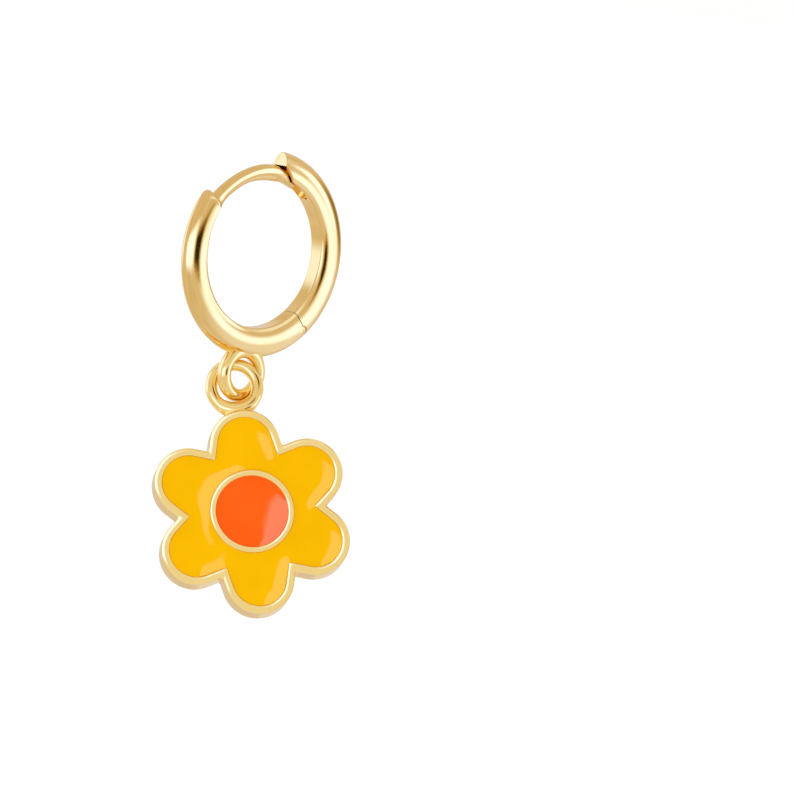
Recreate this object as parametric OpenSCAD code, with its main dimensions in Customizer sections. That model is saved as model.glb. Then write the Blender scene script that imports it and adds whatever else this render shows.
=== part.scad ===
/* [Hoop] */
// Radius of the hoop's flat inner face
bore_r = 4.82; // [4.6:0.02:5.2]
// Radius of the ring along which the band's domed section is centred
dome_r = 5.39; // [5.3:0.01:5.6]
// Half height of the domed section, measured outwards
dome_rise = 1.2; // [1.1:0.02:1.3]
// Half width of the domed section, measured along the hoop's axis
dome_half_width = 0.695; // [0.65:0.005:0.8]
// Sideways shift of the dome's centre, which thickens the band at the right
dome_shift_x = 0.21; // [0:0.01:0.3]
// Downward shift of the dome's centre, which thickens the band at the bottom
dome_shift_z = -0.13; // [-0.2:0.01:0]
// Angle of the front arc's upper end, from the right and upwards
front_end_angle = 146; // [140:1:150]
// Angle of the back arc's upper end
back_end_angle = 83; // [80:1:86]
// Angle of the seam between the two arcs
seam_angle = -47.5; // [-50:0.5:-45]
// Gap left between faces that only touch
face_gap = 0.03; // [0.02:0.01:0.05]

/* [Ear post] */
// Radius of the ring that the post's centre line follows
post_ring_r = 5.12; // [5.1:0.01:5.2]
// Radius of the post's wire
post_r = 0.41; // [0.38:0.01:0.42]
// Angle at which the round wire becomes the flat tip
tip_start_angle = 75; // [74:1:77]
// Angle of the centre of the tip's rounded end
tip_end_angle = 66; // [64:1:68]
// Half width of the flat tip
tip_half_width = 0.36; // [0.34:0.01:0.37]
// Radius of the tip's inner face
tip_inner_r = 4.58; // [4.55:0.01:4.65]
// Radius of the tip's outer face
tip_outer_r = 5.34; // [5.2:0.01:5.4]

/* [Clasp slot] */
// Half width of the slot in the back arc
slot_half_width = 0.46; // [0.45:0.01:0.48]
// Radius of the slot's roof
slot_roof_r = 5.62; // [5.6:0.01:5.66]
// Angle of the centre of the slot's rounded end
slot_end_angle = 54; // [52:1:56]

/* [Hinge] */
// Angle of the hinge pin
pin_angle = -50; // [-51:0.25:-49.5]
// Radius at which the hinge pin lies
pin_ring_r = 6.35; // [6.33:0.01:6.37]
// Radius of the hinge pin
pin_r = 0.22; // [0.2:0.01:0.23]
// Clearance between the pin and its holes
pin_play = 0.02; // [0.015:0.005:0.03]
// Radius of the rounded knuckle around the pin
knuckle_r = 0.45; // [0.44:0.01:0.46]
// Radius of the hollow in which a knuckle turns
relief_r = 0.52; // [0.51:0.01:0.54]
// Half thickness of the tongue on the back arc
tongue_half = 0.2; // [0.18:0.01:0.22]

/* [Charm loop] */
// Radius of the loop's centre line
loop_ring_r = 1.42; // [1.4:0.01:1.5]
// Radius of the loop's wire
loop_wire_r = 0.44; // [0.42:0.01:0.46]
// Depth of the loop's centre below the hoop's centre
loop_drop = 7.78; // [7.7:0.02:7.84]

/* [Flower] */
// Distance from the flower's centre to the centre of each petal's round tip
petal_reach = 4.35; // [4.3:0.01:4.4]
// Radius of a petal's round tip
petal_r = 2.22; // [2.2:0.01:2.26]
// Distance from the flower's centre to the centre of each petal's wider root
petal_root_reach = 2.35; // [2.3:0.01:2.4]
// Radius of a petal's root
petal_root_r = 2.68; // [2.66:0.01:2.72]
// Width of the raised rim
rim_width = 0.56; // [0.53:0.01:0.59]
// Thickness of the casting, rim included
flower_thickness = 1.9; // [1.8:0.05:2]
// Depth of the wells for the enamel
well_depth = 0.85; // [0.7:0.05:0.9]
// Outer radius of the ring around the centre
centre_outer_r = 2.72; // [2.65:0.01:2.76]
// Inner radius of the ring around the centre
centre_inner_r = 2.23; // [2.15:0.01:2.3]
// Radius of the bail ring's centre line
bail_ring_r = 1.46; // [1.44:0.01:1.48]
// Radius of the bail ring's wire
bail_wire_r = 0.4; // [0.38:0.01:0.41]
// Distance from the flower's centre to the bail ring's centre
bail_reach = 8.2; // [8.15:0.01:8.25]
// Turn of the petals from the line to the bail ring
petal_turn = -1.4; // [-2.5:0.1:0]

/* [Enamel] */
// Depth of the enamel's surface below the rim
enamel_drop = 0.13; // [0.08:0.01:0.2]
// Gap between the enamel and the metal
enamel_gap = 0.03; // [0.02:0.01:0.04]

/* [Hang] */
// Turn of the flower from the hoop's plane
flower_turn = 36; // [35:1:38]
// Forward lean of the flower
flower_lean = 20; // [19:1:21]
// Turn of the flower in its own plane
flower_roll = 2.4; // [2.2:0.1:2.6]
// Sideways place of the bail ring in the loop
bail_side = -0.42; // [-0.45:0.01:-0.4]
// Depth of the bail ring's centre below the loop's centre
bail_drop = 0.91; // [0.88:0.01:0.94]

/* [Hidden] */
$fn = 96;
petals = 6;
far = 12;
deep = 4;
bury = 6;
tip_lap = 2;
over = 1;
metal = [0.93, 0.76, 0.42];
yellow = [0.98, 0.74, 0.0];
orange = [1.0, 0.39, 0.11];
pin_x = pin_ring_r * cos(pin_angle);
pin_z = pin_ring_r * sin(pin_angle);
petal_flare = asin((petal_root_r - petal_r) / (petal_reach - petal_root_reach));
enamel_thickness = well_depth - enamel_drop - enamel_gap;

// Lays a shape drawn in X and Y into the hoop's upright plane
module upright() {
    rotate([90, 0, 0]) children();
}

// Wedge between two angles about the hoop's centre, less than a half turn
module wedge(from, to) {
    linear_extrude(height = deep, center = true)
        polygon([
            [0, 0],
            far * [cos(from), sin(from)],
            far * [cos((from + to) / 2), sin((from + to) / 2)] / cos((to - from) / 2),
            far * [cos(to), sin(to)]
        ]);
}

// Domed band with a flat inner face, before it is cut into arcs
module band() {
    difference() {
        translate([dome_shift_x, dome_shift_z, 0])
            rotate_extrude()
                translate([dome_r, 0])
                    scale([dome_rise, dome_half_width])
                        circle(r = 1);
        cylinder(r = bore_r, h = deep, center = true);
    }
}

// Round body about the hinge pin's axis
module about_pin(radius, half) {
    translate([pin_x, pin_z, 0])
        cylinder(r = radius, h = 2 * half, center = true);
}

// Wire or bar carried around the hoop's centre between two angles
module around(from, to) {
    rotate([0, 0, from])
        rotate_extrude(angle = to - from)
            children();
}

// Round post wire that leaves the front arc, with its flat tip
module post() {
    around(tip_start_angle, front_end_angle + bury)
        translate([post_ring_r, 0])
            circle(r = post_r);
    intersection() {
        around(tip_end_angle - bury, tip_start_angle + tip_lap)
            translate([tip_inner_r, -tip_half_width])
                square([tip_outer_r - tip_inner_r, 2 * tip_half_width]);
        union() {
            wedge(tip_end_angle, tip_start_angle + bury);
            rotate([0, 0, tip_end_angle])
                rotate([0, 90, 0])
                    cylinder(r = tip_half_width, h = far);
        }
    }
}

// Wire loop that carries the flower, sunk into the band where it is soldered
module charm_loop() {
    translate([0, -loop_drop, 0])
        rotate_extrude()
            translate([loop_ring_r, 0])
                circle(r = loop_wire_r);
}

// Front arc up to the pin, its lip below the seam and its knuckle
module front_arc() {
    intersection() {
        band();
        union() {
            wedge(front_end_angle, 360 + pin_angle);
            intersection() {
                wedge(pin_angle - bury, seam_angle);
                cylinder(r = pin_ring_r, h = deep, center = true);
            }
            about_pin(knuckle_r, deep / 2);
        }
    }
}

module hoop_front() {
    color(metal)
        upright() {
            difference() {
                front_arc();
                about_pin(relief_r, tongue_half + face_gap);
                about_pin(pin_r + pin_play, deep);
            }
            post();
            charm_loop();
        }
}

// Slot that takes the post, with a round end and open to the inside
module clasp_slot() {
    around(slot_end_angle, back_end_angle + bury)
        translate([bore_r - over, -slot_half_width])
            square([slot_roof_r - bore_r + over, 2 * slot_half_width]);
    intersection() {
        rotate([0, 0, slot_end_angle])
            rotate([0, 90, 0])
                cylinder(r = slot_half_width, h = far);
        cylinder(r = slot_roof_r, h = deep, center = true);
    }
}

// Back arc with room for the front knuckles on both sides of its tongue
module hoop_back() {
    seam_gap_angle = face_gap / bore_r * 180 / PI;
    color(metal)
        upright()
            difference() {
                intersection() {
                    band();
                    union() {
                        wedge(seam_angle + seam_gap_angle, back_end_angle);
                        about_pin(knuckle_r, tongue_half);
                    }
                }
                for (side = [-1, 1])
                    translate([0, 0, side * (tongue_half + deep / 2)])
                        about_pin(relief_r, deep / 2);
                about_pin(pin_r + pin_play, deep);
                clasp_slot();
            }
}

// Pin with its ends dressed flush with the domed band
module hinge_pin() {
    color(metal)
        upright()
            intersection() {
                band();
                about_pin(pin_r, deep / 2);
            }
}

// Flower outline moved inwards by an inset: round tips and wider roots, joined by straight sides that touch both
module petals_outline(inset) {
    tip = petal_r - inset;
    root = petal_root_r - inset;
    side = [cos(petal_flare), sin(petal_flare)];
    for (k = [0 : petals - 1])
        rotate(petal_turn + k * 360 / petals) {
            translate([0, petal_reach]) circle(r = tip);
            translate([0, petal_root_reach]) circle(r = root);
            polygon([
                [tip * side[0], petal_reach + tip * side[1]],
                [-tip * side[0], petal_reach + tip * side[1]],
                [-root * side[0], petal_root_reach + root * side[1]],
                [root * side[0], petal_root_reach + root * side[1]]
            ]);
        }
}

// Hangs the flower from the loop: turned, leaning and rolled in its own plane
module hung() {
    translate([bail_side, 0, -loop_drop - bail_drop])
        rotate([-flower_lean, 0, 0])
            rotate([0, 0, -flower_turn])
                rotate([0, -flower_roll, 0])
                    translate([0, 0, -bail_reach])
                        upright()
                            children();
}

// Casting with the petal well, the centre well and the bail ring
module flower_frame() {
    color(metal)
        hung() {
            difference() {
                linear_extrude(height = flower_thickness, center = true)
                    petals_outline(0);
                translate([0, 0, flower_thickness / 2 - well_depth])
                    linear_extrude(height = well_depth + over)
                        difference() {
                            petals_outline(rim_width);
                            circle(r = centre_outer_r);
                        }
                translate([0, 0, flower_thickness / 2 - well_depth])
                    cylinder(r = centre_inner_r, h = well_depth + over);
            }
            translate([0, bail_reach, 0])
                rotate_extrude()
                    translate([bail_ring_r, 0])
                        circle(r = bail_wire_r);
        }
}

// Yellow fill of the petals, around the centre ring
module petal_enamel() {
    color(yellow)
        hung()
            translate([0, 0, flower_thickness / 2 - well_depth + enamel_gap])
                linear_extrude(height = enamel_thickness)
                    difference() {
                        petals_outline(rim_width + enamel_gap);
                        circle(r = centre_outer_r + enamel_gap);
                    }
}

// Orange fill of the centre
module centre_enamel() {
    color(orange)
        hung()
            translate([0, 0, flower_thickness / 2 - well_depth + enamel_gap])
                cylinder(r = centre_inner_r - enamel_gap, h = enamel_thickness);
}

// The hoop's centre lies straight below the post's wire, which is at the origin
module placed() {
    translate([0, 0, -post_ring_r]) children();
}

placed() hoop_front();
placed() hoop_back();
placed() hinge_pin();
placed() flower_frame();
placed() petal_enamel();
placed() centre_enamel();
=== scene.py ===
import math

import bmesh
import bpy
import numpy as np
from mathutils import Matrix, Vector


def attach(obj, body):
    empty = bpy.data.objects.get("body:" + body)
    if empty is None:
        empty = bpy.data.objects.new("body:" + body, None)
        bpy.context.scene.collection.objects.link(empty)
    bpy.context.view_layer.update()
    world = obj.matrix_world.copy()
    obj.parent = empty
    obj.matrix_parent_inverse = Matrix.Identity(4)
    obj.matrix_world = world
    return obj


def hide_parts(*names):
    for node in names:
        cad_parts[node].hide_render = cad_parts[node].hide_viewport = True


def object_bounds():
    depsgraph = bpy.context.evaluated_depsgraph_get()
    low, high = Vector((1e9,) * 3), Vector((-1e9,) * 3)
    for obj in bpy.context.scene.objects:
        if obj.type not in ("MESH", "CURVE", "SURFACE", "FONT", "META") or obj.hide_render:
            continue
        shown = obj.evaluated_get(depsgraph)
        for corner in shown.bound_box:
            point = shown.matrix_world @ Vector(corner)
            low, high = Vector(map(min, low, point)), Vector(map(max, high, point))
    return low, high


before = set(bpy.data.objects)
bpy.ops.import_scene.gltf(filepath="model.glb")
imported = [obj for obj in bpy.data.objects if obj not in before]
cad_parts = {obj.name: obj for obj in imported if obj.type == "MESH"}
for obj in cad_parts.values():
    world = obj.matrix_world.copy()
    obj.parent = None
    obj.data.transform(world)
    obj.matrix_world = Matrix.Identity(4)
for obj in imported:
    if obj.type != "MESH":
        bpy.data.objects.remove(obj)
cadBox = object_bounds()
cadMiddle = np.mean([np.array(c) for c in cadBox], 0)
print("frame loaded")

mm = 0.001
weldGap = 0.0004 * mm  # points nearer to each other than this become one

# Shared mesh helpers


def gridQuads(rows, columns, closeRows):
    # each grid point joined to its next neighbours along the row, which closes on itself, and down the column
    i = np.arange(rows if closeRows else rows - 1)[:, None]
    j = np.arange(columns)[None, :]
    nextRow = (i + 1) % rows
    nextColumn = (j + 1) % columns
    corners = [i * columns + j, i * columns + nextColumn,
               nextRow * columns + nextColumn, nextRow * columns + j]
    return np.stack([np.broadcast_to(c, (i.size, j.size)) for c in corners], -1).reshape(-1, 4)


def makePiece(name, grid, material, body, closeRows=False, caps=(), sharpAngle=38):
    # grid is rows x columns x 3 in millimetres; each cap is a list of grid points that one flat face closes
    rows, columns = grid.shape[:2]
    points = grid.reshape(-1, 3) * mm
    faces = gridQuads(rows, columns, closeRows).tolist()
    faces += [list(cap) for cap in caps]
    mesh = bpy.data.meshes.new(name)
    mesh.from_pydata(points.tolist(), [], faces)
    tidy = bmesh.new()
    tidy.from_mesh(mesh)
    bmesh.ops.remove_doubles(tidy, verts=tidy.verts, dist=weldGap)
    bmesh.ops.dissolve_degenerate(tidy, edges=tidy.edges, dist=weldGap)
    bmesh.ops.recalc_face_normals(tidy, faces=tidy.faces)
    tidy.to_mesh(mesh)
    tidy.free()
    mesh.shade_smooth()
    mesh.set_sharp_from_angle(angle=math.radians(sharpAngle))
    mesh.materials.append(material)
    piece = bpy.data.objects.new(name, mesh)
    bpy.context.collection.objects.link(piece)
    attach(piece, body)
    return piece


def span(first, last, count):
    # evenly spaced numbers from first to last, both among them
    return np.linspace(first, last, count)


def circle(count):
    # angles of evenly spaced points once round
    return span(0, 2 * math.pi, count + 1)[:-1]


def ease(value, start, end):
    # 0 at start, 1 at end and level beyond both: 3 t squared less 2 t cubed, t being the share of the way
    t = np.clip((value - start) / (end - start), 0, 1)
    return t * t * (3 - 2 * t)


def signedPower(value, power):
    # the value's size raised to a power, with the value's sign
    return np.sign(value) * np.abs(value) ** power


# Materials: scales are per metre, depths in metres, and each range is the part of a noise that is spread out

gold = {
    "colour": (0.95, 0.665, 0.235),
    "paleColour": (0.97, 0.71, 0.28),
    "cloudScale": 260,
    "cloudRange": (0.35, 0.7),
    "shineScale": 780,
    "shineRange": (0.35, 0.75),
    "roughness": (0.045, 0.12),
    "pitScale": 5200,
    "pitDepth": 0.0000012,
    "waveScale": 520,
    "waveDepth": 0.000012,
}


def newMaterial(name):
    # material of one shader, whose inputs are then set or linked
    material = bpy.data.materials.new(name)
    material.use_nodes = True
    nodes = material.node_tree.nodes
    nodes.clear()
    output = nodes.new("ShaderNodeOutputMaterial")
    shader = nodes.new("ShaderNodeBsdfPrincipled")
    material.node_tree.links.new(shader.outputs["BSDF"], output.inputs["Surface"])
    return material, shader


def addNode(material, kind, inputs=None, **settings):
    # node with its settings; an input takes a value or another node's output
    node = material.node_tree.nodes.new(kind)
    for key, value in settings.items():
        setattr(node, key, value)
    for key, value in (inputs or {}).items():
        if isinstance(value, bpy.types.NodeSocket):
            material.node_tree.links.new(value, node.inputs[key])
        else:
            node.inputs[key].default_value = value
    return node


def addNoise(material, place, scale, detail=2.0):
    # cloudy noise between 0 and 1
    inputs = {"Vector": place, "Scale": scale, "Detail": detail}
    return addNode(material, "ShaderNodeTexNoise", inputs).outputs["Fac"]


def addBump(material, height, depth, under=None):
    # normal tilted by the slope of a height, on top of the normal under it
    inputs = {"Height": height, "Distance": depth, "Strength": 1.0}
    if under:
        inputs["Normal"] = under
    return addNode(material, "ShaderNodeBump", inputs).outputs["Normal"]


def mixColours(material, factor, first, second):
    # first where the factor is 0 and second where it is 1; each is a colour or a node's output
    mix = addNode(material, "ShaderNodeMix", data_type="RGBA", clamp_factor=True)
    link = material.node_tree.links.new
    link(factor, mix.inputs["Factor"])
    for socket, value in ((mix.inputs[6], first), (mix.inputs[7], second)):
        if isinstance(value, bpy.types.NodeSocket):
            link(value, socket)
        else:
            socket.default_value = (*value, 1)
    return mix.outputs[2]


def ramp(material, value, low, high, toLow=0.0, toHigh=1.0):
    # straight line from toLow at low to toHigh at high, level beyond both
    inputs = {"Value": value, "From Min": low, "From Max": high, "To Min": toLow, "To Max": toHigh}
    return addNode(material, "ShaderNodeMapRange", inputs, clamp=True).outputs["Result"]


def makeGold():
    # polished plating: soft cloudy tone, uneven gloss, shallow polishing waves and pin pricks
    material, shader = newMaterial("polishedGold")
    link = material.node_tree.links.new
    place = addNode(material, "ShaderNodeTexCoord").outputs["Object"]
    cloud = ramp(material, addNoise(material, place, gold["cloudScale"], 3.0), *gold["cloudRange"])
    link(mixColours(material, cloud, gold["colour"], gold["paleColour"]), shader.inputs["Base Color"])
    shine = addNoise(material, place, gold["shineScale"], 4.0)
    link(ramp(material, shine, *gold["shineRange"], *gold["roughness"]), shader.inputs["Roughness"])
    waves = addBump(material, addNoise(material, place, gold["waveScale"], 1.0), gold["waveDepth"])
    pits = addBump(material, addNoise(material, place, gold["pitScale"]), gold["pitDepth"], waves)
    link(pits, shader.inputs["Normal"])
    shader.inputs["Metallic"].default_value = 1.0
    return material


enamel = {
    "yellow": ((0.82, 0.424, 0.0), (0.86, 0.448, 0.0)),
    "orange": ((0.90, 0.100, 0.004), (0.92, 0.114, 0.007)),
    "yellowGloss": 0.3,
    "orangeGloss": 0.5,
    "refraction": 1.5,
    "cloudScale": 420,
    "cloudRange": (0.35, 0.7),
    "speckScale": 900,
    "speckSize": (0.05, 0.10),  # of a cell: full up to the first, gone from the second
    "speckRarity": (0.985, 0.99),  # of the cells' shades: none up to the first, full from the second
    "speckColour": (0.22, 0.10, 0.02),
    "shineScale": 1680,
    "shineRange": (0.3, 0.8),
    "roughness": (0.02, 0.06),
    "peelScale": 1500,
    "peelDepth": 0.0000035,
}


def makeEnamel(name, colours, gloss):
    # glossy fill: faint clouding, a few specks under the surface and a slight orange peel
    material, shader = newMaterial(name)
    link = material.node_tree.links.new
    place = addNode(material, "ShaderNodeTexCoord").outputs["Object"]
    cloud = ramp(material, addNoise(material, place, enamel["cloudScale"], 4.0), *enamel["cloudRange"])
    body = mixColours(material, cloud, *colours)
    cells = addNode(material, "ShaderNodeTexVoronoi", {"Vector": place, "Scale": enamel["speckScale"]})
    near = ramp(material, cells.outputs["Distance"], *enamel["speckSize"], 1.0, 0.0)
    shade = addNode(material, "ShaderNodeSeparateColor", {"Color": cells.outputs["Color"]})
    chosen = ramp(material, shade.outputs["Red"], *enamel["speckRarity"])
    speck = addNode(material, "ShaderNodeMath", {0: near, 1: chosen}, operation="MULTIPLY").outputs["Value"]
    link(mixColours(material, speck, body, enamel["speckColour"]), shader.inputs["Base Color"])
    shine = addNoise(material, place, enamel["shineScale"])
    link(ramp(material, shine, *enamel["shineRange"], *enamel["roughness"]), shader.inputs["Roughness"])
    peel = addBump(material, addNoise(material, place, enamel["peelScale"], 1.0), enamel["peelDepth"])
    link(peel, shader.inputs["Normal"])
    shader.inputs["IOR"].default_value = enamel["refraction"]
    shader.inputs["Specular IOR Level"].default_value = gloss
    return material


goldMetal = makeGold()
yellowEnamel = makeEnamel("yellowEnamel", enamel["yellow"], enamel["yellowGloss"])
orangeEnamel = makeEnamel("orangeEnamel", enamel["orange"], enamel["orangeGloss"])
print("materials made")

# Hoop: sizes in millimetres and angles in degrees. Places are worked out in its own plane, x across and z up
# from its centre, with y along its axis

hoop = {
    "centreZ": -5.12,
    "boreR": 4.82,
    "domeR": 5.39,
    "domeRise": 1.2,
    "domeHalfWidth": 0.695,
    "domeShift": (0.21, -0.13),
    "middleRise": 0.95,  # about how far the dome stands over the section's middle
    "edgeR": 0.07,
    "leastSide": 0.01,  # what round edges and slot leave of the inner side at least
    "bevel": 0.03,  # how far the dome's lowest part leans in, and how wide that part is
    "bevelWidth": 0.28,
    "frontEnd": 144.3,
    "backEnd": 83,
    "seam": -47.5,
    "seamGap": 0.03,
    "capR": 0.5,
    "capTaper": 0.05,
    "taperSpan": 0.2,  # share of the front arc
    "faceR": 0.07,
    "seamR": 0.02,
    "columns": (97, 6, 10, 6, 8, 6, 10, 6),  # points on each stretch of the section
    "crowding": 0.35,  # how much closer the dome's points stand near its edges
    "arcRows": 150,
    "edgeRows": 9,
    "faceRows": 16,
    "firstGuess": 5.6,  # of every point's distance from the centre, and how often it is corrected
    "corrections": 5,
}
hinge = {
    "angle": -50,
    "ringR": 6.35,
    "pinR": 0.22,
    "knuckleR": 0.45,
    "hollowR": 0.52,
    "tongueHalf": 0.2,
    "cheekHalf": 0.23,
    "proud": 0.012,  # how far the pin's ends stand out, and the power by which they round off
    "proudPower": 6,
    "endRows": 12,
    "columns": 40,
}
slotSizes = {
    "half": 0.46,
    "roofR": 5.62,
    "endAngle": 54,
    "meanR": 5.2,
    "shallow": 0.25,  # share of the depth left at the round end, and the angle from which it shrinks
    "shallowFrom": 68,
    "bevel": 0.95,  # what the near cheek loses at the hoop's inside, and the radius where it loses none
    "bevelTop": 5.68,
    "cheekMargin": 0.01,  # how near to the slot's wall a point still counts as the cheek's
    "mouth": 0.08,  # how much wider each side is at the end face, and the angle from which it widens
    "mouthFrom": 66,
    "solidRows": 110,
    "endRows": 14,
    "slotRows": 36,
}


def placeHoop(x, y, z):
    # places about the hoop's centre, with z then counted from the origin
    return np.stack([x, y, z + hoop["centreZ"]], -1)


def boreDistance(theta):
    # from the dome's own centre to the bore's circle in the direction theta: the root of the bore's radius
    # squared less the square of the shift's part across theta, less the shift's part along it
    cx, cz = hoop["domeShift"]
    along = cx * np.cos(theta) + cz * np.sin(theta)
    return -along + np.sqrt(hoop["boreR"] ** 2 - cx ** 2 - cz ** 2 + along ** 2)


def domeShares(count):
    # shares from -1 to 1, closer together near both ends: each pushed outwards by its quarter turn's sine
    share = span(-1, 1, count)
    return (share + hoop["crowding"] * np.sin(share * math.pi / 2)) / (1 + hoop["crowding"])


def domeSection(theta, slotHalf, roofRise):
    # half ellipse over a straight inner side, with round edges and, where roofRise is above 0, a slot. On the
    # ellipse the distance is domeR plus the rise times the cosine of s, and y the half width times its sine.
    # The stretches: 0 the dome, 1 and 7 the round edges, 2 and 6 the inner side, 3 and 5 the slot's walls,
    # 4 the slot's roof. A round edge is a parabola that starts along the dome and ends along the inner side
    rise, half = hoop["domeRise"], hoop["domeHalfWidth"]
    slotDepth = roofRise * (slotSizes["roofR"] - hoop["boreR"])
    starts = np.concatenate([[0], np.cumsum(hoop["columns"])])
    parts = []
    for k, count in enumerate(hoop["columns"]):
        bore = boreDistance(theta[:, starts[k]:starts[k + 1]])
        corner = np.arccos((bore - hoop["domeR"]) / rise)
        cornerY = half * np.sin(corner) - hoop["bevel"]
        stretch = np.hypot(rise * np.sin(corner), half * np.cos(corner))
        edge = np.minimum(hoop["edgeR"], cornerY - slotHalf - hoop["leastSide"])
        last = corner - edge / stretch
        bevelFrom = corner - hoop["bevelWidth"] / stretch
        side = 1 if k < 4 else -1
        u = np.arange(count) / count
        if k in (1, 7):
            u = (np.arange(count) + 1) / (count + 1)
        if k > 4:
            u = 1 - u
        if k == 0:
            s = last * domeShares(count)
            lean = hoop["bevel"] * np.clip((np.abs(s) - bevelFrom) / (corner - bevelFrom), 0, 1)
            rho = hoop["domeR"] + rise * np.cos(s)
            y = half * np.sin(s) - lean * np.sign(s)
        elif k in (1, 7):
            domeRho = hoop["domeR"] + rise * np.cos(last)
            domeY = half * np.sin(last) - hoop["bevel"] * (last - bevelFrom) / (corner - bevelFrom)
            rho = (1 - u) ** 2 * domeRho + 2 * u * (1 - u) * bore + u ** 2 * bore
            y = side * ((1 - u) ** 2 * domeY + 2 * u * (1 - u) * cornerY + u ** 2 * (cornerY - edge))
        elif k in (2, 6):
            rho = bore
            y = side * ((1 - u) * (cornerY - edge) + u * slotHalf)
        elif k in (3, 5):
            rho = bore + u * slotDepth
            y = side * slotHalf
        else:
            rho = bore + slotDepth
            y = (1 - 2 * u) * slotHalf
        parts.append(np.broadcast_arrays(rho, y, bore)[:2])
    return [np.concatenate(stretches, 1) for stretches in zip(*parts)]


def bandGrid(first, last, rowPlan, slotHalf=0.0, roofRise=0.0, bend=None):
    # the section carried round the hoop; first and last give the end faces' angle at each radius and y.
    # rowPlan columns: place from first to last, pull back from each end, inset of a round edge, shrink to
    # the middle. The section turns about the dome's own centre, so each point's place is found by repeating
    place, pullFirst, pullLast, inset, shrink = [c[:, None] for c in rowPlan.T]
    cx, cz = hoop["domeShift"]
    rho = radius = np.full((len(rowPlan), sum(hoop["columns"])), hoop["firstGuess"])
    y = np.zeros_like(rho)
    for _ in range(hoop["corrections"]):
        start = first(radius, y) + pullFirst / radius
        end = last(radius, y) - pullLast / radius
        angle = start + place * (end - start)
        angle = bend(angle, radius, y) if bend else angle
        across = -cx * np.sin(angle) + cz * np.cos(angle)
        theta = angle - np.arcsin(across / rho)
        rho, y = domeSection(theta, slotHalf, roofRise)
        middle = (boreDistance(theta) + hoop["domeR"] + hoop["domeRise"]) / 2
        rho = rho + inset * (middle - rho) / hoop["middleRise"]
        y = y * (1 - inset / hoop["domeHalfWidth"])
        rho = rho + shrink * (middle - rho)
        y = y * (1 - shrink)
        x, z = cx + rho * np.cos(theta), cz + rho * np.sin(theta)
        radius = np.hypot(x, z)
    return placeHoop(x, y, z)


def rowsAcross(places, firstR, lastR, fillLast=True):
    # plan rows: first face, its round edge, arc, last round edge and, where it is filled, last face. A round
    # edge is a quarter circle, pulled back by 1 less the sine and set in by 1 less the cosine of its turn
    turn = np.radians(span(90, 0, hoop["edgeRows"]))
    plan = [(0, 0, lastR, firstR, s) for s in span(1, 0, hoop["faceRows"])]
    plan += [(0, firstR * (1 - math.sin(t)), lastR, firstR * (1 - math.cos(t)), 0) for t in turn]
    plan += [(p, firstR, lastR, 0, 0) for p in places]
    plan += [(1, firstR, lastR * (1 - math.sin(t)), lastR * (1 - math.cos(t)), 0) for t in turn[::-1]]
    if fillLast:
        plan += [(1, firstR, 0, lastR, s) for s in span(0, 1, hoop["faceRows"])]
    return np.array(plan, float)


def circleReach(radius, size):
    # half the angle that a circle about the pin takes up at each distance from the hoop's centre: the root of
    # its size squared less the square of the gap to the pin's distance, over the distance
    return np.sqrt(np.clip(size ** 2 - (radius - hinge["ringR"]) ** 2, 0, None)) / radius


def frontSeam(radius, y):
    # straight cut below the pin, then the cheeks' rounds, with the hollow for the tongue between them
    pin = math.radians(hinge["angle"] + 360)
    seam = math.radians(hoop["seam"] + 360)
    straight = np.where(radius < hinge["ringR"], seam, pin)
    cheek = np.maximum(straight, pin + circleReach(radius, hinge["knuckleR"]))
    reach = circleReach(radius, hinge["hollowR"])
    hollow = np.where(reach > 0, pin - reach, straight)
    return np.where(np.abs(y) > hinge["cheekHalf"], cheek, hollow)


def backSeam(radius, y):
    # the same cut from the other side: room for the cheeks, and the tongue round the pin between them
    pin = math.radians(hinge["angle"])
    seam = math.radians(hoop["seam"]) + hoop["seamGap"] / hoop["boreR"]
    room = np.maximum(seam, pin + circleReach(radius, hinge["hollowR"]))
    reach = circleReach(radius, hinge["knuckleR"])
    tongue = np.where(reach > 0, np.minimum(seam, pin - reach), seam)
    return np.where(np.abs(y) > hinge["tongueHalf"], room, tongue)


def flatCut(degrees):
    # flat end face: one angle at every radius and y
    return lambda radius, y: np.full_like(radius, math.radians(degrees))


def cutCheek(angle, radius, y):
    # the clasp's end is flat, but the cheek nearer to the viewer is cut back towards the hoop's inside
    low = np.clip((slotSizes["bevelTop"] - radius) / (slotSizes["bevelTop"] - hoop["boreR"]), 0, 1)
    cheek = y < slotSizes["cheekMargin"] - slotSizes["half"]
    along = ease(np.degrees(angle), slotSizes["endAngle"], hoop["backEnd"])
    return angle - slotSizes["bevel"] / hoop["boreR"] * low * cheek * along


def makeHoopFront():
    # the end round the post has a broad round edge and tapers a little towards it
    plan = rowsAcross(span(0, 1, hoop["arcRows"]), hoop["capR"], hoop["seamR"])
    taper = hoop["capTaper"] * ease(plan[:, 0], hoop["taperSpan"], 0)
    plan[:, 3] += taper * (1 - plan[:, 4])
    grid = bandGrid(flatCut(hoop["frontEnd"]), frontSeam, plan)
    return makePiece("frontArc", grid, goldMetal, "hoop")


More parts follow.
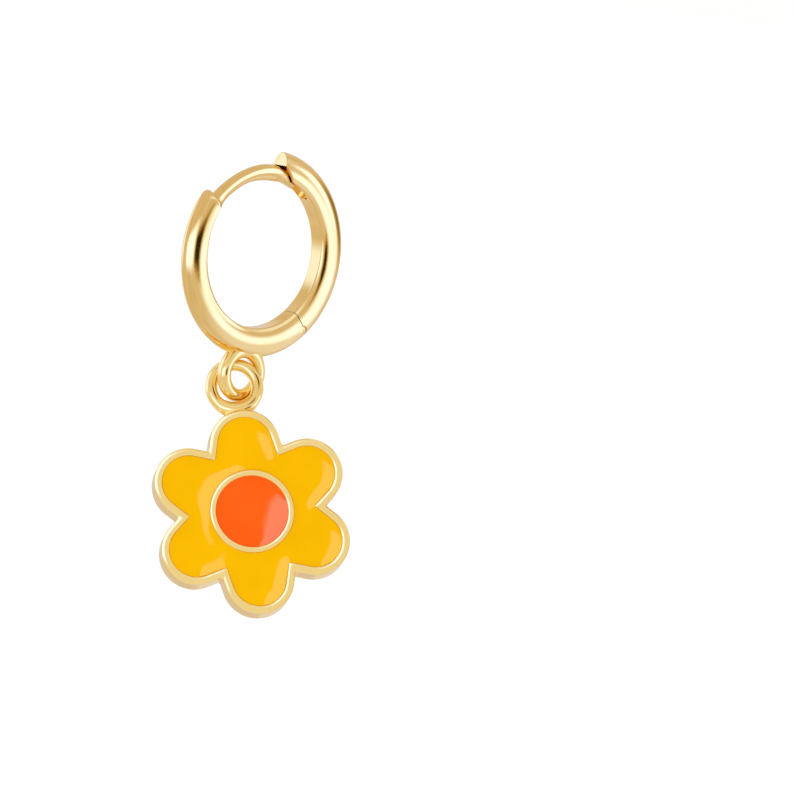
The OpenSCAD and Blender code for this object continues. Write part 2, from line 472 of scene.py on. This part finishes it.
def makeHoopBack():
    # the slot is full width from the end face to the middle of its round end, then closes like a circle
    first, last, endAngle = hoop["seam"], hoop["backEnd"], slotSizes["endAngle"]
    solidRows, edgeRows = slotSizes["solidRows"], hoop["edgeRows"]
    endSpan = np.degrees(slotSizes["half"] / slotSizes["meanR"])
    closing = endAngle - endSpan * np.sin(np.radians(span(90, 0, slotSizes["endRows"])))
    angles = np.concatenate([span(first, closing[0], solidRows), closing,
                             span(endAngle, last, slotSizes["slotRows"])[1:]])
    plan = rowsAcross((angles - first) / (last - first), hoop["seamR"], hoop["faceR"], fillLast=False)
    before = np.zeros(len(plan) - edgeRows - len(angles))
    slotted = np.arange(len(angles)) >= solidRows
    away = np.clip((endAngle - angles) / endSpan, 0, 1)
    mouth = slotSizes["mouth"] * ease(angles, slotSizes["mouthFrom"], last)
    half = np.concatenate([before, slotSizes["half"] * np.sqrt(1 - away ** 2) * slotted + mouth,
                           np.full(edgeRows, slotSizes["half"] + slotSizes["mouth"])])
    depth = 1 - (1 - slotSizes["shallow"]) * ease(angles, slotSizes["shallowFrom"], endAngle)
    rise = np.concatenate([before, slotted * depth, np.ones(edgeRows)])
    grid = bandGrid(backSeam, flatCut(last), plan, half[:, None], rise[:, None], cutCheek)
    # the end face is two flat faces: the cheek that is cut back, and the rest round the slot
    columns = grid.shape[1]
    base = (len(grid) - 1) * columns
    x, _, z = grid[-1].T
    domeTop = int(np.argmax(np.hypot(x, z - hoop["centreZ"]) > slotSizes["bevelTop"]))
    wallStart = sum(hoop["columns"][:5])
    cheek = [base + k % columns for k in range(wallStart, columns + domeTop + 1)]
    disc = range(base + domeTop, base + wallStart + 1)
    return makePiece("claspArm", grid, goldMetal, "clasp_arm", caps=[disc, cheek])


frontArc = makeHoopFront()
claspArm = makeHoopBack()

post = {
    "ringR": 5.04,
    "wireR": 0.43,
    "sunkAngle": 152,
    "flattens": (88, 78),  # the wire becomes the tip's bar between these angles
    "tipEnd": 69,
    "tipInnerR": 4.6,
    "tipOuterR": 5.34,
    "tipHalfWidth": 0.37,
    "tipSquareness": 3,
    "collar": 0.05,
    "collarLength": 0.25,
    "rootLift": 0.08,  # further out where the post leaves the front arc
    "rootAngles": (126, 146),
    "swell": 0.09,  # deeper towards the clasp
    "swellAngles": (118, 92),
    "rows": 170,
    "endRows": 16,
    "columns": 48,
}


def makePost():
    # wire section carried round the hoop's centre; towards the tip it eases from a circle to a rounded bar,
    # as its sine and cosine go to the power of 2 over 2 plus the squareness. Its width closes like a half
    # circle
    roundEnd = math.degrees(post["tipHalfWidth"] / post["ringR"])
    arc = span(post["sunkAngle"], post["tipEnd"], post["rows"])[:-1]
    end = post["tipEnd"] - roundEnd * np.sin(np.radians(span(0, 90, post["endRows"])))
    angle = np.concatenate([arc, end])[:, None]
    turn = circle(post["columns"])[None, :]
    flat = ease(angle, *post["flattens"])
    past = np.clip((post["tipEnd"] - angle) / roundEnd, 0, 1)
    fromCap = np.radians(hoop["frontEnd"] - angle) * post["ringR"]
    flare = post["collar"] * np.exp(-np.clip(fromCap, 0, None) / post["collarLength"])
    swell = post["swell"] * ease(angle, *post["swellAngles"])
    lift = post["rootLift"] * ease(angle, *post["rootAngles"])
    tipMiddle = (post["tipInnerR"] + post["tipOuterR"]) / 2
    tipTall = (post["tipOuterR"] - post["tipInnerR"]) / 2
    centre = (1 - flat) * (post["ringR"] + lift) + flat * tipMiddle
    tall = (1 - flat) * (post["wireR"] + flare + swell) + flat * tipTall
    wide = ((1 - flat) * (post["wireR"] + flare) + flat * post["tipHalfWidth"]) * np.sqrt(1 - past ** 2)
    power = 2 / (2 + post["tipSquareness"] * flat)
    rho = centre + tall * signedPower(np.cos(turn), power)
    y = wide * signedPower(np.sin(turn), power)
    a = np.radians(angle)
    grid = placeHoop(rho * np.cos(a), y, rho * np.sin(a))
    return makePiece("earPost", grid, goldMetal, "hoop", caps=[range(grid.shape[1])])


ringPoints = (144, 48)  # along a ring of wire, and round the wire


def ringAngles():
    # angles round the ring, one to a row, and round the wire, one to a column
    return circle(ringPoints[0])[:, None], circle(ringPoints[1])[None, :]


def wireRing(ringR, wire, ring, turn):
    # wire bent round a ring, as places across, up and out of its plane: from the ring's middle it lies at
    # the ring's radius plus the wire's times the cosine of turn, and out of the plane at the wire's times its
    # sine
    rho = ringR + wire * np.cos(turn)
    return rho * np.cos(ring), rho * np.sin(ring), wire * np.sin(turn) + 0 * ring


charmLoop = {
    "ringR": 1.42,
    "wireR": 0.44,
    "drop": 7.78,  # below the hoop's centre
    "solder": 0.17,
    "solderAt": 1.25,  # height over the loop's centre with full solder, and how soon it runs out below
    "solderSpan": 0.3,
}


def makeCharmLoop():
    # ring of wire with solder where it runs up into the band: below its full height the solder falls off as a
    # bell curve, and it is on the outer side alone, by the square of turn's cosine, clear of the bail's swing
    ring, turn = ringAngles()
    height = charmLoop["ringR"] * np.sin(ring)
    root = np.exp(-(np.clip(charmLoop["solderAt"] - height, 0, None) / charmLoop["solderSpan"]) ** 2)
    outward = np.clip(np.cos(turn), 0, 1) ** 2
    wire = charmLoop["wireR"] + charmLoop["solder"] * root * outward
    across, up, out = wireRing(charmLoop["ringR"], wire, ring, turn)
    grid = placeHoop(across, out, up - charmLoop["drop"])
    return makePiece("charmLoop", grid, goldMetal, "hoop", closeRows=True)


def makeHingePin():
    # both ends follow the dome, a hair proud of it, and are joined through the cheeks
    angle = math.radians(hinge["angle"])
    rows = hinge["endRows"]
    turn = circle(hinge["columns"])[None, :]
    share = np.concatenate([span(0, 1, rows), [1.0], span(1, 0, rows)])[:, None]
    side = np.concatenate([np.full(rows, -1.0), [0.0], np.full(rows, 1.0)])[:, None]
    x = hinge["ringR"] * math.cos(angle) + hinge["pinR"] * share * np.cos(turn)
    z = hinge["ringR"] * math.sin(angle) + hinge["pinR"] * share * np.sin(turn)
    rho = np.hypot(x - hoop["domeShift"][0], z - hoop["domeShift"][1])
    dome = hoop["domeHalfWidth"] * np.sqrt(1 - ((rho - hoop["domeR"]) / hoop["domeRise"]) ** 2)
    proud = hinge["proud"] * (1 - share ** hinge["proudPower"])
    return makePiece("pinEnds", placeHoop(x, side * (dome + proud), z), goldMetal, "hoop")


earPost = makePost()
loopPiece = makeCharmLoop()
pinPiece = makeHingePin()
for piece in (frontArc, earPost, loopPiece):
    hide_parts("hoop_front")
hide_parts("hoop_back")
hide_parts("hinge_pin")
print("hoop made")

# Flower: places are worked out flat, u across and v up from its centre and w out of its face, and then hung

flower = {
    "petals": 6,
    "petalReach": 4.35,
    "petalR": 2.22,
    "rootReach": 2.35,
    "rootR": 2.68,
    "petalTurn": -1.4,
    "cuspBlend": 0.06,
    "halfThickness": 0.95,
    "floor": 0.1,
    "backEdge": 0.12,
    "rimWidth": 0.56,
    "rimShoulder": 0.3,
    "rimPower": 0.96,  # 1 is a half ellipse, less is flatter
    "ringOuterR": 2.72,
    "ringInnerR": 2.23,
    "ringSunk": 0.1,
    "bailRingR": 1.46,
    "bailWireR": 0.4,
    "bailReach": 8.2,
    "bailSolder": 0.1,
    "bailSolderFrom": 0.55,  # share of the way down from the bail's centre
    "petalColumns": 96,
    "ringColumns": 192,
    "edgeRows": 9,
    "crownRows": 41,
    "wellRows": 7,
    "faceRows": 14,
    "outlineBetween": (3.3, 7.5),
    "halvings": 34,
}
# turns in degrees, and the bail's place from the charm loop's centre
hang = {"turn": 36, "lean": 20, "roll": 2.4, "side": -0.42, "drop": 0.91}


def hangFlower(u, v, w):
    # set upright below the bail's centre, then rolled, turned and leant about it
    points = np.stack([u, -w, v - flower["bailReach"]], -1)
    for axis, degrees in (("Y", -hang["roll"]), ("Z", -hang["turn"]), ("X", -hang["lean"])):
        points = points @ np.array(Matrix.Rotation(math.radians(degrees), 3, axis)).T
    return points + np.array([hang["side"], 0, hoop["centreZ"] - charmLoop["drop"] - hang["drop"]])


def petalAngles():
    # angle round the flower, closer together near the notches, and its offset from the nearest petal's axis
    half = math.pi / flower["petals"]
    offset = half * np.sin(span(-1, 1, flower["petalColumns"] + 1)[:-1] * math.pi / 2)
    axis = math.pi / 2 + math.radians(flower["petalTurn"]) + 2 * half * np.arange(flower["petals"])[:, None]
    return (axis + offset).ravel(), np.tile(offset, flower["petals"])


def onePetal(across, along):
    # distance outside a round tip and a wider round root that straight sides join, below 0 inside
    length = flower["petalReach"] - flower["rootReach"]
    flare = (flower["rootR"] - flower["petalR"]) / length
    straight = math.sqrt(1 - flare ** 2)
    across, along = np.abs(across), along - flower["rootReach"]
    place = along * straight - across * flare
    beside = across * straight + along * flare - flower["rootR"]
    rootGap = np.hypot(across, along) - flower["rootR"]
    tipGap = np.hypot(across, along - length) - flower["petalR"]
    return np.where(place < 0, rootGap, np.where(place > length * straight, tipGap, beside))


def petalDistance(radius, offset):
    # the nearest petal's distance, rounded at the notches: the least one, less the blend times the log of the
    # sum of e to the power of how much each is above the least, negative and over the blend
    step = 2 * math.pi / flower["petals"]
    blend = flower["cuspBlend"]
    turns = [offset - k * step for k in (-1, 0, 1)]
    gaps = [onePetal(radius * np.sin(turn), radius * np.cos(turn)) for turn in turns]
    least = np.minimum(np.minimum(gaps[0], gaps[1]), gaps[2])
    return least - blend * np.log(sum(np.exp((least - g) / blend) for g in gaps))


def outlineRadius(offset, inset):
    # distance from the flower's centre to the outline moved inwards by inset, found by halving an interval
    shape = np.broadcast(offset, inset).shape
    low, high = [np.full(shape, end) for end in flower["outlineBetween"]]
    for _ in range(flower["halvings"]):
        middle = (low + high) / 2
        inside = petalDistance(middle, offset) < -inset
        low = np.where(inside, middle, low)
        high = np.where(inside, high, middle)
    return (low + high) / 2


def rimCrown():
    # rounded bar's top from 1 to -1 across: a half ellipse whose sine and cosine are raised to a power
    turn = np.radians(span(0, 180, flower["crownRows"]))
    return signedPower(np.cos(turn), flower["rimPower"]), signedPower(np.sin(turn), flower["rimPower"])


def rimProfile():
    # inset and height from the back's edge, up the wall, over the rounded rim and down to the well's floor
    top, edge, width = flower["halfThickness"], flower["backEdge"], flower["rimWidth"]
    shoulder = top - flower["rimShoulder"]
    rows = flower["edgeRows"]
    turn = np.radians(span(0, 90, rows))
    back = [edge * (1 - np.sin(turn)), -top + edge * (1 - np.cos(turn))]
    wall = [np.zeros(rows - 2), span(-top + edge, shoulder, rows)[1:-1]]
    across, rise = rimCrown()
    crown = [width / 2 - width / 2 * across, shoulder + flower["rimShoulder"] * rise]
    down = span(shoulder, flower["floor"], flower["wellRows"])[1:]
    return np.concatenate([back, wall, crown, [np.full(len(down), width), down]], 1)


def makeCasting():
    # the rim's profile carried round the outline, closed by a flat back and a flat floor
    angle, offset = petalAngles()
    inset, height = rimProfile()
    radius = outlineRadius(offset[None, :], inset[:, None])
    outwards = span(0, 1, flower["faceRows"])[:-1, None]
    inwards = span(1, 0, flower["faceRows"])[1:, None]
    radius = np.concatenate([radius[:1] * outwards, radius, radius[-1:] * inwards])
    height = np.concatenate([np.full(len(outwards), -flower["halfThickness"]), height,
                             np.full(len(inwards), flower["floor"])])
    w = np.broadcast_to(height[:, None], radius.shape)
    grid = hangFlower(radius * np.cos(angle), radius * np.sin(angle), w)
    return makePiece("flowerCasting", grid, goldMetal, "flower")


def makeCentreRing():
    # wall with a rounded top turned about the flower's centre
    outer, inner = flower["ringOuterR"], flower["ringInnerR"]
    across, rise = rimCrown()
    radius = np.concatenate([[outer], (outer + inner) / 2 + (outer - inner) / 2 * across, [inner]])[:, None]
    foot = [flower["floor"] - flower["ringSunk"]]
    top = flower["halfThickness"] - flower["rimShoulder"] + flower["rimShoulder"] * rise
    height = np.concatenate([foot, top, foot])[:, None]
    turn = circle(flower["ringColumns"])[None, :]
    grid = hangFlower(radius * np.cos(turn), radius * np.sin(turn), height + 0 * turn)
    return makePiece("centreRing", grid, goldMetal, "flower", closeRows=True)


def makeBail():
    # ring of wire soldered to the top petal, a little thicker where it meets it
    ring, turn = ringAngles()
    low = np.clip(-np.sin(ring), 0, 1)
    wire = flower["bailWireR"] + flower["bailSolder"] * ease(low, flower["bailSolderFrom"], 1)
    across, up, out = wireRing(flower["bailRingR"], wire, ring, turn)
    grid = hangFlower(across, flower["bailReach"] + up, out)
    return makePiece("bailRing", grid, goldMetal, "flower", closeRows=True)


casting = makeCasting()
centreRing = makeCentreRing()
bailRing = makeBail()
for piece in (casting, centreRing, bailRing):
    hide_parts("flower_frame")
print("flower made")

fill = {
    "drop": 0.25,  # of the flat middle below the rim
    "bottom": 0.13,
    "overlap": 0.055,
    "meniscus": 0.11,
    "meniscusReach": 0.34,
    "centreDrop": 0.24,
    "centreMeniscus": 0.03,
    "centreReach": 0.25,
    "bowl": 0.085,
    "rows": 64,
    "centreRows": 44,
    "sharpAngle": 60,
}


def edgeDistance(u, v, edgeU, edgeV):
    # distance from every point to the nearest point of the well's edge
    rows = [np.hypot(u[k][:, None] - edgeU, v[k][:, None] - edgeV).min(1) for k in range(len(u))]
    return np.stack(rows)


def makePetalFill():
    # level surface over a flat bottom that climbs the metal walls like a liquid: by the meniscus times e to
    # the power of the gap to the wall, negative and over the reach, with both walls added and held at 1
    angle, offset = petalAngles()
    outer = outlineRadius(offset, np.array(flower["rimWidth"] - fill["overlap"]))
    inner = flower["ringOuterR"] - fill["overlap"]
    share = ((1 - np.cos(span(0, math.pi, fill["rows"]))) / 2)[:, None]
    radius = inner + share * (outer - inner)
    u, v = radius * np.cos(angle), radius * np.sin(angle)
    wallGap = edgeDistance(u, v, u[-1], v[-1])
    ringGap = radius - inner
    climb = np.exp(-wallGap / fill["meniscusReach"]) + np.exp(-ringGap / fill["meniscusReach"])
    top = flower["halfThickness"] - fill["drop"] + fill["meniscus"] * np.minimum(climb, 1.0)
    radius = np.concatenate([radius, radius[[-1, 0]]])
    w = np.concatenate([top, np.full((2, len(angle)), fill["bottom"])])
    grid = hangFlower(radius * np.cos(angle), radius * np.sin(angle), w)
    return makePiece("petalFill", grid, yellowEnamel, "flower", closeRows=True,
                     sharpAngle=fill["sharpAngle"])


def makeCentreFill():
    # shallow bowl over a flat bottom: it rises by the square of the way out, and climbs the ring's wall in
    # the same way as the petals' enamel
    edge = flower["ringInnerR"] + fill["overlap"]
    share = np.sin(span(0, math.pi / 2, fill["centreRows"]))[:, None]
    radius = edge * share
    climb = fill["centreMeniscus"] * np.exp(-(edge - radius) / fill["centreReach"])
    climb = climb + fill["bowl"] * share ** 2
    level = flower["halfThickness"] - fill["centreDrop"]
    turn = circle(flower["ringColumns"])[None, :]
    radius = np.concatenate([radius, radius[[-1, 0]]])
    w = np.concatenate([level + climb, np.full((2, 1), fill["bottom"])])
    grid = hangFlower(radius * np.cos(turn), radius * np.sin(turn), w + 0 * turn)
    return makePiece("centreFill", grid, orangeEnamel, "flower",
                     sharpAngle=fill["sharpAngle"])


petalFill = makePetalFill()
centreFill = makeCentreFill()
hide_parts("petal_enamel")
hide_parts("centre_enamel")
print("enamel made")

# Camera: the photograph's view, as directions to its right and up, with the hoop's centre at its pixel

shot = {
    "right": (0.7294, -0.6682, 0.1464),
    "up": (-0.0727, 0.1370, 0.9879),
    "distance": 0.6,
    "pixelsPerMm": 15.85,
    "imageWidth": 797,
    "imageHeight": 792,
    "hoopCentre": (259.1, 251.6),  # pixels
    "sensorWidth": 36,
    "sees": (0.01, 20),
}


def shotAxes():
    # right, up and towards the camera, each of unit length and square to the others
    right = np.array(shot["right"]) / np.linalg.norm(shot["right"])
    up = np.array(shot["up"]) - right * np.dot(right, shot["up"])
    up /= np.linalg.norm(up)
    return right, up, np.cross(right, up)


def placeByShot(thing, place):
    # turned with the camera's own axes and set at a place
    matrix = np.eye(4)
    matrix[:3, :3] = np.stack(shotAxes(), 1)
    matrix[:3, 3] = place
    thing.matrix_world = Matrix(matrix.tolist())


def makeCamera():
    # far off behind a long lens, so a millimetre looks the same all over the earring
    right, up, toward = shotAxes()
    shiftRight = (shot["imageWidth"] / 2 - shot["hoopCentre"][0]) / shot["pixelsPerMm"]
    shiftUp = -(shot["imageHeight"] / 2 - shot["hoopCentre"][1]) / shot["pixelsPerMm"]
    target = (np.array([0, 0, hoop["centreZ"]]) + shiftRight * right + shiftUp * up) * mm
    data = bpy.data.cameras.new("photoCamera")
    data.sensor_width = shot["sensorWidth"]
    data.lens = data.sensor_width * shot["distance"] / (shot["imageWidth"] / shot["pixelsPerMm"] * mm)
    data.clip_start, data.clip_end = shot["sees"]
    camera = bpy.data.objects.new("photoCamera", data)
    bpy.context.collection.objects.link(camera)
    placeByShot(camera, target + toward * shot["distance"])
    bpy.context.scene.camera = camera


makeCamera()

# Light: an even pale room, a lamp for the enamel's colour, and five tents. A tent is a clear glowing ball
# that only the gloss of its own pieces sees, so each tent stands for what those pieces mirror

studio = {
    "roomColour": (1.0, 0.995, 0.985),
    "roomLight": 1.0,
    "floorDrop": 60,  # millimetres below the object
    "floorSize": 20,  # metres
    "floorColour": (0.90, 0.90, 0.90),
    "floorPale": (0.92, 0.92, 0.92),
    "floorGrain": 40,
    "floorRoughness": 0.9,
    "floorGlow": 0.20,
    "clothScale": 3.0,
    "clothRange": (0.3, 0.7),
    "panelPower": 4.0,  # 2 makes a tent's panels oval, more makes them squarer
    "ballDetail": 4,
}
# light is the tent's own and mottle how much it varies. tones gives the colour at each light, warmer where
# it is dim. A part is a panel, brighter than the cloth, or a card or shade, darker: its middle and half size
# are azimuth and elevation in degrees from the camera's line, and soft is the share of the half size that
# its edge takes to either side
goldTones = [(0.35, (1.30, 1.0, 0.55)), (0.60, (1.13, 1.0, 0.84)), (0.76, (1.03, 1.0, 1.20)),
             (1.00, (0.91, 1.0, 1.45)), (1.45, (0.78, 1.0, 1.85)), (2.60, (1.0, 1.0, 0.95))]
tents = {
    "hoopTent": {
        "pieces": (frontArc, claspArm, pinPiece),
        "radius": 0.62,
        "light": 0.66,
        "mottle": 0.06,
        "tones": goldTones,
        "parts": {
            "frontPanel": {"middle": (4, -6), "half": (29, 15), "light": 1.6, "soft": 0.35},
            "lowGlow": {"middle": (105, -34), "half": (38, 14), "light": 0.93, "soft": 0.7},
            "sidePanel": {"middle": (91, -14), "half": (26, 9), "light": 1.5, "soft": 0.6},
            "sideSpot": {"middle": (101, 4), "half": (8, 10), "light": 1.6, "soft": 0.5},
            "shoulderPanel": {"middle": (68, 25), "half": (27, 7), "light": 1.1, "soft": 0.6},
            "leftPanel": {"middle": (-89, 18), "half": (13, 24), "light": 1.3, "soft": 0.4},
            "backPanel": {"middle": (-142, 8), "half": (28, 26), "light": 1.3, "soft": 0.5},
            "darkCard": {"middle": (52, -9), "half": (14, 9), "light": 0.02, "soft": 0.5},
            "rightCard": {"middle": (128, 5), "half": (13, 9), "light": 0.2, "soft": 0.7},
        },
    },
    "postTent": {
        "pieces": (earPost,),
        "radius": 0.61,
        "light": 0.64,
        "mottle": 0.05,
        "tones": goldTones,
        "parts": {
            "broadPanel": {"middle": (82, 12), "half": (27, 20), "light": 1.5, "soft": 0.4},
            "underGlow": {"middle": (125, -40), "half": (30, 16), "light": 0.85, "soft": 0.6},
        },
    },
    "linkTent": {
        "pieces": (loopPiece, bailRing),
        "radius": 0.605,
        "light": 0.84,
        "mottle": 0.08,
        "tones": [(0.35, (1.30, 1.0, 0.40)), (0.60, (1.15, 1.0, 0.60)), (0.85, (1.0, 1.0, 1.0)),
                  (1.45, (0.76, 1.0, 1.8))],
        "parts": {
            "frontPanel": {"middle": (-14, -2), "half": (24, 14), "light": 1.5, "soft": 0.4},
            "sidePanel": {"middle": (84, -14), "half": (20, 9), "light": 1.45, "soft": 0.5},
            "leftPanel": {"middle": (-89, 22), "half": (22, 24), "light": 1.45, "soft": 0.4},
            "backPanel": {"middle": (-150, 0), "half": (26, 22), "light": 1.25, "soft": 0.5},
            "upperCard": {"middle": (40, 29), "half": (15, 7), "light": 0.08, "soft": 0.5},
            "lowerCard": {"middle": (38, -9), "half": (13, 6), "light": 0.08, "soft": 0.5},
            "rightCard": {"middle": (130, 40), "half": (16, 12), "light": 0.12, "soft": 0.5},
        },
    },
    "flowerTent": {
        "pieces": (casting, centreRing),
        "radius": 0.60,
        "light": 0.93,
        "mottle": 0.03,
        "tones": [(0.35, (1.30, 1.0, 0.55)), (0.55, (1.2, 1.0, 0.82)), (0.68, (1.09, 1.0, 0.93)),
                  (0.93, (0.96, 1.0, 1.04)), (1.45, (0.72, 1.0, 1.95))],
        "parts": {
            "upperPanel": {"middle": (-60, 50), "half": (62, 19), "light": 1.5, "soft": 0.4},
            "leftPanel": {"middle": (-74, 16), "half": (43, 22), "light": 1.6, "soft": 0.3},
            "backShade": {"middle": (-155, -12), "half": (36, 30), "light": 0.66, "soft": 0.5},
            "lowShade": {"middle": (160, -22), "half": (28, 30), "light": 0.78, "soft": 0.5},
            "rightShade": {"middle": (118, -8), "half": (22, 24), "light": 0.76, "soft": 0.6},
            "darkCard": {"middle": (127, 45), "half": (13, 9), "light": 0.15, "soft": 0.5},
        },
    },
    "enamelTent": {
        "pieces": (petalFill, centreFill),
        "radius": 0.58,
        "light": 0.06,
        "mottle": 0.0,
        "tones": [(0.0, (1.0, 1.0, 0.92)), (1.0, (1.0, 1.0, 0.92))],
        "parts": {
            "bigPanel": {"middle": (-5, 38), "half": (16, 21), "light": 2.9, "soft": 0.06},
        },
    },
}
keyLight = {"middle": (-12, 30), "size": 0.12, "distance": 0.16, "radiance": 1.2}


def tentGlow(material, direction, tent):
    # light by direction: an even mottled light, overlaid by each soft-edged part
    def maths(operation, *values):
        node = addNode(material, "ShaderNodeMath", dict(enumerate(values)), operation=operation)
        return node.outputs["Value"]

    axes = addNode(material, "ShaderNodeSeparateXYZ", {"Vector": direction}).outputs
    azimuth = maths("ARCTAN2", axes["X"], axes["Z"])
    elevation = maths("ARCSINE", axes["Y"])
    cloth = addNoise(material, direction, studio["clothScale"])
    glow = ramp(material, cloth, *studio["clothRange"], tent["light"] - tent["mottle"],
                tent["light"] + tent["mottle"])
    for part in tent["parts"].values():
        # 1 on the part's outline: both shares of the half size to a power, added, and the root taken
        powers = []
        for angle, middle, half in zip((azimuth, elevation), part["middle"], part["half"]):
            away = maths("DIVIDE", maths("SUBTRACT", angle, math.radians(middle)), math.radians(half))
            powers.append(maths("POWER", maths("ABSOLUTE", away), studio["panelPower"]))
        reach = maths("POWER", maths("ADD", *powers), 1 / studio["panelPower"])
        cover = addNode(material, "ShaderNodeMapRange",
                        {"Value": reach, "From Min": 1 + part["soft"], "From Max": 1 - part["soft"]},
                        interpolation_type="SMOOTHSTEP").outputs["Result"]
        glow = addNode(material, "ShaderNodeMix", {"Factor": cover, 2: glow, 3: float(part["light"])},
                       data_type="FLOAT").outputs[0]
    return glow


def makeTent(name, tent):
    # clear ball whose inside glows, for its own pieces alone
    material = bpy.data.materials.new(name)
    material.use_nodes = True
    material.node_tree.nodes.clear()
    place = addNode(material, "ShaderNodeTexCoord").outputs["Object"]
    direction = addNode(material, "ShaderNodeVectorMath", {0: place}, operation="NORMALIZE").outputs["Vector"]
    strength = tentGlow(material, direction, tent)
    tint = tent["tones"][0][1]
    for (low, _), (high, colour) in zip(tent["tones"], tent["tones"][1:]):
        tint = mixColours(material, ramp(material, strength, low, high), tint, colour)
    glow = addNode(material, "ShaderNodeEmission", {"Color": tint, "Strength": strength}).outputs["Emission"]
    clear = addNode(material, "ShaderNodeBsdfTransparent").outputs["BSDF"]
    both = addNode(material, "ShaderNodeAddShader", {0: glow, 1: clear}).outputs["Shader"]
    addNode(material, "ShaderNodeOutputMaterial", {"Surface": both})
    material.cycles.emission_sampling = "NONE"
    mesh = bpy.data.meshes.new(name)
    ball = bmesh.new()
    bmesh.ops.create_icosphere(ball, subdivisions=studio["ballDetail"], radius=tent["radius"])
    bmesh.ops.reverse_faces(ball, faces=ball.faces)
    ball.to_mesh(mesh)
    ball.free()
    mesh.materials.append(material)
    thing = bpy.data.objects.new(name, mesh)
    bpy.context.collection.objects.link(thing)
    placeByShot(thing, cadMiddle)
    for ray in ("visible_camera", "visible_diffuse", "visible_shadow", "visible_transmission"):
        setattr(thing, ray, False)
    lit = bpy.data.collections.new(name + "Pieces")
    for piece in tent["pieces"]:
        lit.objects.link(piece)
    thing.light_linking.receiver_collection = lit


def fromShot(middle):
    # direction at an azimuth and elevation from the camera's line
    right, up, toward = shotAxes()
    azimuth, elevation = [math.radians(angle) for angle in middle]
    level = toward * math.cos(azimuth) + right * math.sin(azimuth)
    return level * math.cos(elevation) + up * math.sin(elevation)


def makeKeyLight():
    # square lamp that lifts the enamel's colour and isn't seen in the gloss
    outward = fromShot(keyLight["middle"])
    light = bpy.data.lights.new("keyLight", "AREA")
    light.size = keyLight["size"]
    light.energy = keyLight["radiance"] * math.pi * keyLight["size"] ** 2
    lamp = bpy.data.objects.new("keyLight", light)
    bpy.context.collection.objects.link(lamp)
    lamp.location = cadMiddle + outward * keyLight["distance"]
    lamp.rotation_euler = Vector(outward.tolist()).to_track_quat("Z", "Y").to_euler()
    lamp.visible_camera = False
    lamp.visible_glossy = False


def makeFloor():
    # one pale sheet below the hanging object
    half = studio["floorSize"] / 2
    low = cadBox[0][2] - studio["floorDrop"] * mm
    corners = [(-half, -half, low), (half, -half, low), (half, half, low), (-half, half, low)]
    mesh = bpy.data.meshes.new("floor")
    mesh.from_pydata(corners, [], [(0, 1, 2, 3)])
    material, shader = newMaterial("paleFloor")
    place = addNode(material, "ShaderNodeTexCoord").outputs["Object"]
    grain = addNoise(material, place, studio["floorGrain"], 3.0)
    colour = mixColours(material, grain, studio["floorColour"], studio["floorPale"])
    material.node_tree.links.new(colour, shader.inputs["Base Color"])
    shader.inputs["Roughness"].default_value = studio["floorRoughness"]
    shader.inputs["Emission Color"].default_value = (1, 1, 1, 1)
    shader.inputs["Emission Strength"].default_value = studio["floorGlow"]
    mesh.materials.append(material)
    floor = bpy.data.objects.new("floor", mesh)
    bpy.context.collection.objects.link(floor)
    floor.visible_glossy = False


def lightRoom():
    # even light from all round, which the gloss doesn't see
    world = bpy.data.worlds.new("paleRoom")
    world.use_nodes = True
    background = world.node_tree.nodes["Background"]
    background.inputs["Color"].default_value = (*studio["roomColour"], 1)
    background.inputs["Strength"].default_value = studio["roomLight"]
    bpy.context.scene.world = world
    world.cycles_visibility.glossy = False
    bpy.context.scene.view_settings.view_transform = "Standard"


for name, tent in tents.items():
    makeTent(name, tent)
makeKeyLight()
makeFloor()
lightRoom()
print("studio made")
